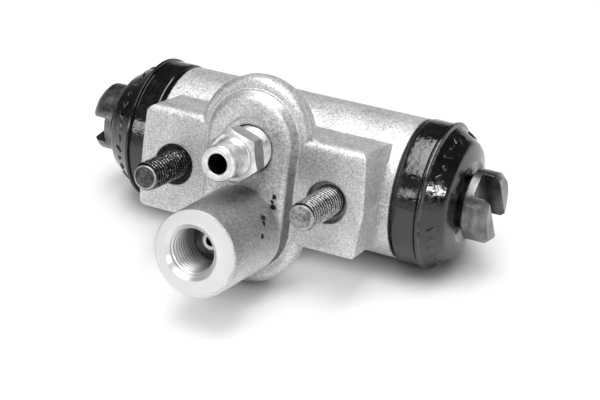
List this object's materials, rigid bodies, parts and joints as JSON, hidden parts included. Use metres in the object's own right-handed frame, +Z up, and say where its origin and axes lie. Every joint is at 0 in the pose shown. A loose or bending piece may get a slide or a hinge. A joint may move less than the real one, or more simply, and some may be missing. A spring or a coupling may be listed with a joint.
{
  "type": "brake wheel cylinder",
  "caption": "Double-acting drum brake wheel cylinder: cast body with opposed slotted pistons, dust boots, mounting studs, threaded line inlet and bleed screw.",
  "frame": {"origin": "midway between the two mounting studs, on the plane of the lugs' mounting face", "axes": "+X along the bore towards the right piston, -Y out of the mounting face along the studs, +Z up, on the bleed screw's side"},
  "size_m": [0.0939, 0.0611, 0.0438],
  "materials": {
    "cast_aluminium": "as cast, fine grain",
    "black_steel": "black oxide",
    "plain_steel": "dull steel",
    "zinc_plate": "bright zinc plate",
    "turned_steel": "turned",
    "seal_rubber": "smooth",
    "spring_steel": "drawn wire",
    "boot_rubber": "glossy moulded"
  },
  "bodies": {
    "housing": {"cylinder_body": "cast_aluminium", "left_stud": "black_steel", "right_stud": "plain_steel", "return_spring": "spring_steel", "left_boot": "boot_rubber", "right_boot": "boot_rubber"},
    "left_carriage": {"left_cup_seal": "seal_rubber", "left_spring_seat": "plain_steel"},
    "right_carriage": {"right_cup_seal": "seal_rubber", "right_spring_seat": "plain_steel"},
    "left_plunger": {"left_piston": "turned_steel"},
    "right_plunger": {"right_piston": "turned_steel"},
    "bleeder": {"bleed_screw": "zinc_plate"}
  },
  "joints": [
    {"name": "left_piston_slide", "type": "slide", "parent": "housing", "child": "left_carriage", "axis": [-1, 0, 0], "range_m": [-0.002, 0.006], "stiffness_N_per_m": 500, "deforming": ["left_boot", "return_spring"]},
    {"name": "left_piston_turn", "type": "hinge", "parent": "left_carriage", "child": "left_plunger", "pos_m": [-0.03455, 0.0242, -0.00075], "axis": [-1, 0, 0], "continuous": true},
    {"name": "right_piston_slide", "type": "slide", "parent": "housing", "child": "right_carriage", "axis": [1, 0, 0], "range_m": [-0.002, 0.006], "stiffness_N_per_m": 500, "deforming": ["right_boot", "return_spring"]},
    {"name": "right_piston_turn", "type": "hinge", "parent": "right_carriage", "child": "right_plunger", "pos_m": [0.0323, 0.0242, -0.00075], "axis": [1, 0, 0], "continuous": true},
    {"name": "bleed_screw_turn", "type": "hinge", "parent": "housing", "child": "bleeder", "pos_m": [0.0005, -0.0022, 0.00795], "axis": [0, -1, 0], "range_deg": [0, 180]}
  ]
}
